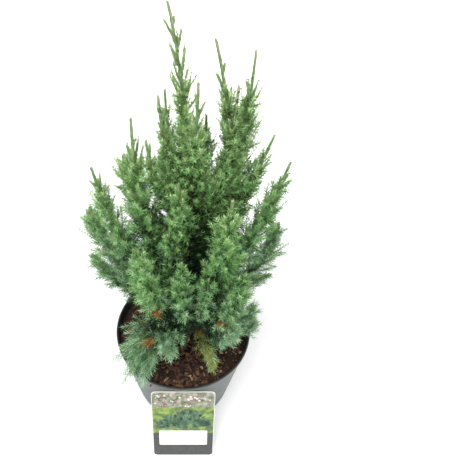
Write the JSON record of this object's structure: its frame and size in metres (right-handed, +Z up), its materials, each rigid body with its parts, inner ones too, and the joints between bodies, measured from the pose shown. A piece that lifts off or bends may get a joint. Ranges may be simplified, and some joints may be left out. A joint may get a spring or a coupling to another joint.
{
  "type": "potted upright juniper",
  "caption": "Young upright juniper with several leaders and plumes of prickly blue-green needles, standing in a round nursery pot with a plant label card.",
  "frame": {"origin": "centre of the pot's flat underside, on the ground", "axes": "+Z up along the trunk, -Y the front of the plant, where the label card leans"},
  "size_m": [0.2536, 0.2406, 0.661],
  "materials": {
    "pot_plastic": "thermoformed dark grey polypropylene, satin",
    "bark_mulch": "moist peat with chips of bark",
    "label_print": "printed polystyrene card, semi gloss",
    "bark": "red-brown young bark, matt",
    "needles": "awl-shaped needles, blue-green with a pale band"
  },
  "bodies": {
    "root": {"bough_back_right_leader": "bark", "bough_far_left_leader": "bark", "bough_far_right_leader": "bark", "bough_front_left_plume": "bark", "bough_front_plume": "bark", "bough_front_right_leader": "bark", "bough_front_right_plume": "bark", "bough_left_front_plume": "bark", "bough_left_leader": "bark", "bough_left_plume": "bark", "bough_right_front_plume": "bark", "bough_right_inner_leader": "bark", "bough_right_leader": "bark", "bough_right_plume": "bark", "label_card": "label_print", "mass_back_plume_1_1": "needles", "mass_back_plume_1_2": "needles", "mass_back_plume_1_3": "needles", "mass_back_plume_1_4": "needles", "mass_back_plume_2_1": "needles", "mass_back_plume_2_2": "needles", "mass_back_plume_2_3": "needles", "mass_back_plume_2_4": "needles", "mass_back_right_leader": "needles", "mass_crown_back": "needles", "mass_crown_back_left": "needles", "mass_crown_front": "needles", "mass_crown_front_high": "needles", "mass_crown_front_left": "needles", "mass_crown_front_low": "needles", "mass_crown_left": "needles", "mass_crown_right": "needles", "mass_crown_right_high": "needles", "mass_far_left_leader": "needles", "mass_far_right_leader": "needles", "mass_front_left_plume": "needles", "mass_front_low_spray": "needles", "mass_front_plume": "needles", "mass_front_right_leader": "needles", "mass_front_right_low_spray": "needles", "mass_front_right_plume": "needles", "mass_front_small_plume": "needles", "mass_front_yellow_spray": "needles", "mass_left_front_plume": "needles", "mass_left_leader": "needles", "mass_left_plume": "needles", "mass_left_rim_spray": "needles", "mass_low_right_front_spray": "needles", "mass_low_right_spray": "needles", "mass_right_front_plume": "needles", "mass_right_inner_leader": "needles", "mass_right_inner_plume": "needles", "mass_right_leader": "needles", "mass_right_outer_shoot": "needles", "mass_right_plume": "needles", "mass_right_rim_spray": "needles", "mass_top": "needles", "pot": "pot_plastic", "substrate": "bark_mulch", "trunk": "bark"}
  },
  "joints": []
}
